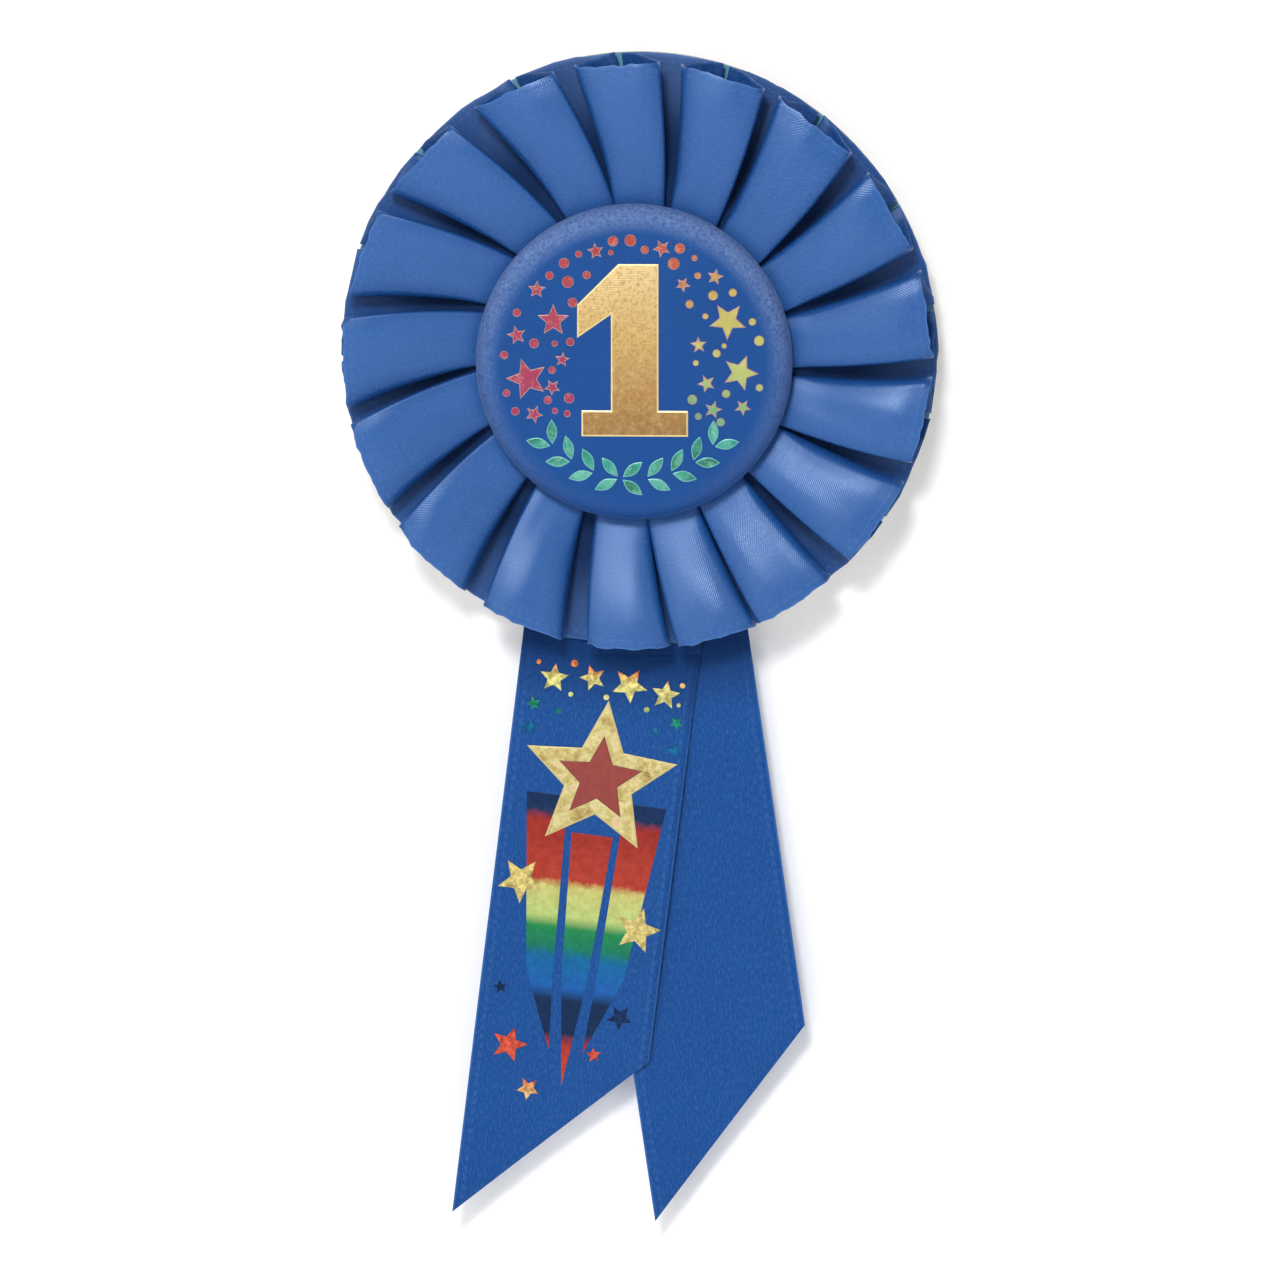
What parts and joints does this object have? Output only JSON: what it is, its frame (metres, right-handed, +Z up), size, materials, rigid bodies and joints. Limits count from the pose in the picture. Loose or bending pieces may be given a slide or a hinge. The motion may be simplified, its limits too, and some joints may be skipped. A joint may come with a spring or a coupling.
{
  "type": "award rosette",
  "caption": "Pleated satin award rosette with a fabric-covered button, ribbon tails and a bar pin on the back.",
  "frame": {"origin": "middle of the pin wire's straight grip, where cloth is pierced", "axes": "+X along the pin wire towards its point, -Y towards the rosette's front, +Z up the rosette as it is worn"},
  "size_m": [0.083, 0.0182, 0.1652],
  "materials": {
    "card": "pulp board with a smooth pale paper face",
    "inner_card": "pulp board with a pale blue paper face",
    "satin": "woven polyester satin",
    "thread": "spun polyester sewing thread",
    "button_fabric": "ribbed polyester",
    "foam": "soft closed-cell foam",
    "shell_plastic": "moulded polystyrene",
    "glue": "hot-melt glue",
    "gold_foil": "metallic foil transfer on fabric",
    "coloured_foil": "metallic foil transfer on fabric, in several colours",
    "garland_foil": "metallic foil transfer on fabric",
    "staple_wire": "drawn steel wire",
    "pin_tape": "double-sided foam tape",
    "pin_plate": "nickel-plated stamped steel",
    "pin_wire": "drawn spring steel"
  },
  "bodies": {
    "rosette": {"back_card": "card", "gather_card": "inner_card", "pleated_ribbon": "satin", "gather_stitches": "thread", "back_tail_top": "satin", "front_tail_top": "satin", "tail_staples": "staple_wire", "button_cover": "button_fabric", "button_pad": "foam", "button_shell": "shell_plastic", "button_back": "shell_plastic", "button_glue": "glue", "numeral_foil": "gold_foil", "button_foil_stars": "coloured_foil", "button_foil_dots": "coloured_foil", "button_foil_leaves": "garland_foil", "pin_pad": "pin_tape", "pin_bar": "pin_plate", "pivot_rivet": "pin_plate", "catch_hook": "pin_plate"},
    "back_tail": {"back_tail": "satin"},
    "front_tail": {"front_tail": "satin", "tail_foil_star": "gold_foil", "tail_foil_inner_star": "coloured_foil", "tail_foil_streamers": "coloured_foil", "tail_foil_small_stars": "gold_foil", "tail_foil_dots": "gold_foil"},
    "pin_arm": {"pin_arm": "pin_wire"},
    "catch_lock": {"catch_lock": "pin_plate"}
  },
  "joints": [
    {"name": "pin_hinge", "type": "hinge", "parent": "rosette", "child": "pin_arm", "pos_m": [-0.012, 0, 0], "axis": [0, 0, 1], "range_deg": [0, 100]},
    {"name": "catch_lock_turn", "type": "hinge", "parent": "rosette", "child": "catch_lock", "pos_m": [0.0134, 0, 0], "axis": [1, 0, 0], "range_deg": [0, 90]},
    {"name": "tails_swing", "type": "hinge", "parent": "rosette", "child": "back_tail", "pos_m": [0, -0.00607, -0.0557], "axis": [-1, 0, 0], "range_deg": [0, 50]},
    {"name": "front_tail_lift", "type": "hinge", "parent": "back_tail", "child": "front_tail", "pos_m": [0, -0.00607, -0.0557], "axis": [-1, 0, 0], "range_deg": [0, 25]}
  ]
}
